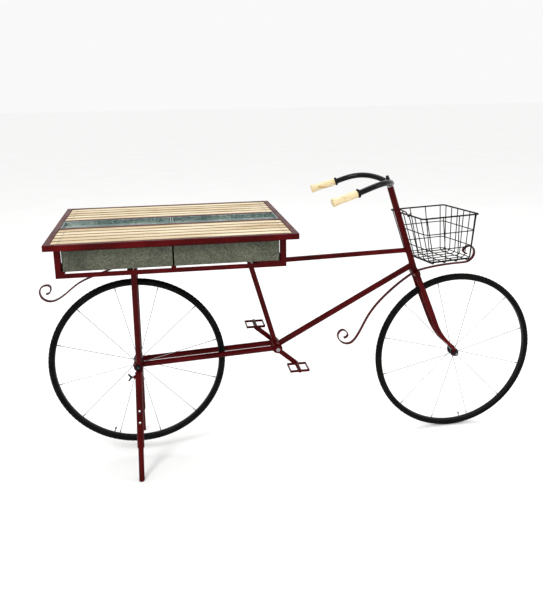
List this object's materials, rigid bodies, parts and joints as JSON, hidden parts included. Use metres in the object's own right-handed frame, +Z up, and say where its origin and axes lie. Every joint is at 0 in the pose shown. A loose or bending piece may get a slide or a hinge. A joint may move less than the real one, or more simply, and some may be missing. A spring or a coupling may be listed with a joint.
{
  "type": "bicycle vending cart",
  "caption": "Bicycle-frame vending and display cart with a slatted table over two drawers, planting pans, a wire basket and a telescopic stand.",
  "frame": {"origin": "centre of the bounding box on the ground plane", "axes": "+X towards the front wheel, +Y towards the far side, +Z up"},
  "size_m": [2.0472, 0.7, 1.1263],
  "materials": {
    "red_paint": "glossy dark maroon-red paint over welded steel",
    "pine": "natural sanded pine slats, matt",
    "galvanised_sheet": "mottled galvanised sheet steel",
    "zinc_pan": "mottled grey-green zinc sheet",
    "tyre_rubber": "black rubber, matt",
    "rim_black": "satin black painted steel",
    "spoke_steel": "bright plated steel",
    "hub_black": "black painted steel",
    "plated_steel": "plated steel",
    "black_fastener": "blackened steel",
    "bar_black": "gloss black paint on tube",
    "grip_wood": "pale turned wood",
    "black_wire": "black coated wire",
    "dark_plastic": "black moulded plastic"
  },
  "bodies": {
    "frame": {"table_rails": "red_paint", "near_slats": "pine", "far_slats": "pine", "slat_bearers": "red_paint", "box_rails": "red_paint", "box_posts": "red_paint", "cross_members": "red_paint", "drawer_runners": "red_paint", "drawer_guides": "red_paint", "bb_shell": "red_paint", "seat_tube": "red_paint", "top_tube": "red_paint", "down_tube": "red_paint", "head_tube": "red_paint", "headset_rings": "red_paint", "chainstays": "red_paint", "rear_posts": "red_paint", "rear_scroll": "red_paint", "stand_sleeves": "red_paint", "rear_axle": "plated_steel", "rear_axle_nuts": "black_fastener"},
    "rear_drawer": {"rear_drawer": "galvanised_sheet"},
    "front_drawer": {"front_drawer": "galvanised_sheet"},
    "rear_pan": {"rear_pan": "zinc_pan"},
    "front_pan": {"front_pan": "zinc_pan"},
    "rear_wheel": {"rear_tyre": "tyre_rubber", "rear_rim": "rim_black", "rear_spokes": "spoke_steel", "rear_hub": "hub_black", "rear_bearings": "plated_steel"},
    "steering": {"fork_crown": "red_paint", "fork_blades": "red_paint", "stem_tube": "red_paint", "bar_clamp": "plated_steel", "stem_bolt": "black_fastener", "handlebar": "bar_black", "bar_collars": "dark_plastic", "grips": "grip_wood", "trailing_scroll": "red_paint", "leading_scroll": "red_paint", "basket_rim": "black_wire", "basket_sides": "black_wire", "basket_floor": "black_wire", "basket_hooks": "red_paint", "front_axle": "plated_steel", "front_axle_nuts": "black_fastener"},
    "front_wheel": {"front_tyre": "tyre_rubber", "front_rim": "rim_black", "front_spokes": "spoke_steel", "front_hub": "hub_black", "front_bearings": "plated_steel"},
    "cranks": {"crank_spindle": "plated_steel", "near_crank": "red_paint", "far_crank": "red_paint"},
    "near_pedal": {"near_pedal": "red_paint"},
    "far_pedal": {"far_pedal": "red_paint"},
    "near_leg": {"near_leg": "red_paint"},
    "far_leg": {"far_leg": "red_paint"},
    "near_wing_screw": {"near_wing_screw": "black_fastener"},
    "far_wing_screw": {"far_wing_screw": "black_fastener"}
  },
  "joints": [
    {"name": "rear_wheel_spin", "type": "hinge", "parent": "frame", "child": "rear_wheel", "pos_m": [-0.6675, 0, 0.41], "axis": [0, 1, 0], "continuous": true},
    {"name": "steering_turn", "type": "hinge", "parent": "frame", "child": "steering", "pos_m": [0.4835, 0, 0.725], "axis": [-0.31, 0, 0.9507], "range_deg": [-35, 35]},
    {"name": "front_wheel_spin", "type": "hinge", "parent": "steering", "child": "front_wheel", "pos_m": [0.6745, 0, 0.35], "axis": [0, 1, 0], "continuous": true},
    {"name": "crank_spin", "type": "hinge", "parent": "frame", "child": "cranks", "pos_m": [-0.1055, 0, 0.438], "axis": [0, 1, 0], "continuous": true},
    {"name": "near_pedal_spin", "type": "hinge", "parent": "cranks", "child": "near_pedal", "pos_m": [-0.03154, 0, 0.37371], "axis": [0, 1, 0], "continuous": true},
    {"name": "far_pedal_spin", "type": "hinge", "parent": "cranks", "child": "far_pedal", "pos_m": [-0.17946, 0, 0.50229], "axis": [0, 1, 0], "continuous": true},
    {"name": "rear_drawer_slide", "type": "slide", "parent": "frame", "child": "rear_drawer", "axis": [0, -1, 0], "range_m": [0, 0.45]},
    {"name": "front_drawer_slide", "type": "slide", "parent": "frame", "child": "front_drawer", "axis": [0, -1, 0], "range_m": [0, 0.45]},
    {"name": "rear_pan_lift", "type": "slide", "parent": "frame", "child": "rear_pan", "axis": [0, 0, 1], "range_m": [0, 0.05]},
    {"name": "front_pan_lift", "type": "slide", "parent": "frame", "child": "front_pan", "axis": [0, 0, 1], "range_m": [0, 0.05]},
    {"name": "near_leg_slide", "type": "slide", "parent": "frame", "child": "near_leg", "axis": [-0.021, -0.283, -0.9589], "range_m": [-0.04, 0]},
    {"name": "far_leg_slide", "type": "slide", "parent": "frame", "child": "far_leg", "axis": [-0.021, 0.283, -0.9589], "range_m": [-0.04, 0]},
    {"name": "near_wing_screw_turn", "type": "hinge", "parent": "frame", "child": "near_wing_screw", "pos_m": [-0.66655, -0.09138, 0.385], "axis": [-1, 0, 0], "range_deg": [0, 360]},
    {"name": "far_wing_screw_turn", "type": "hinge", "parent": "frame", "child": "far_wing_screw", "pos_m": [-0.66655, 0.09138, 0.385], "axis": [1, 0, 0], "range_deg": [0, 360]}
  ]
}
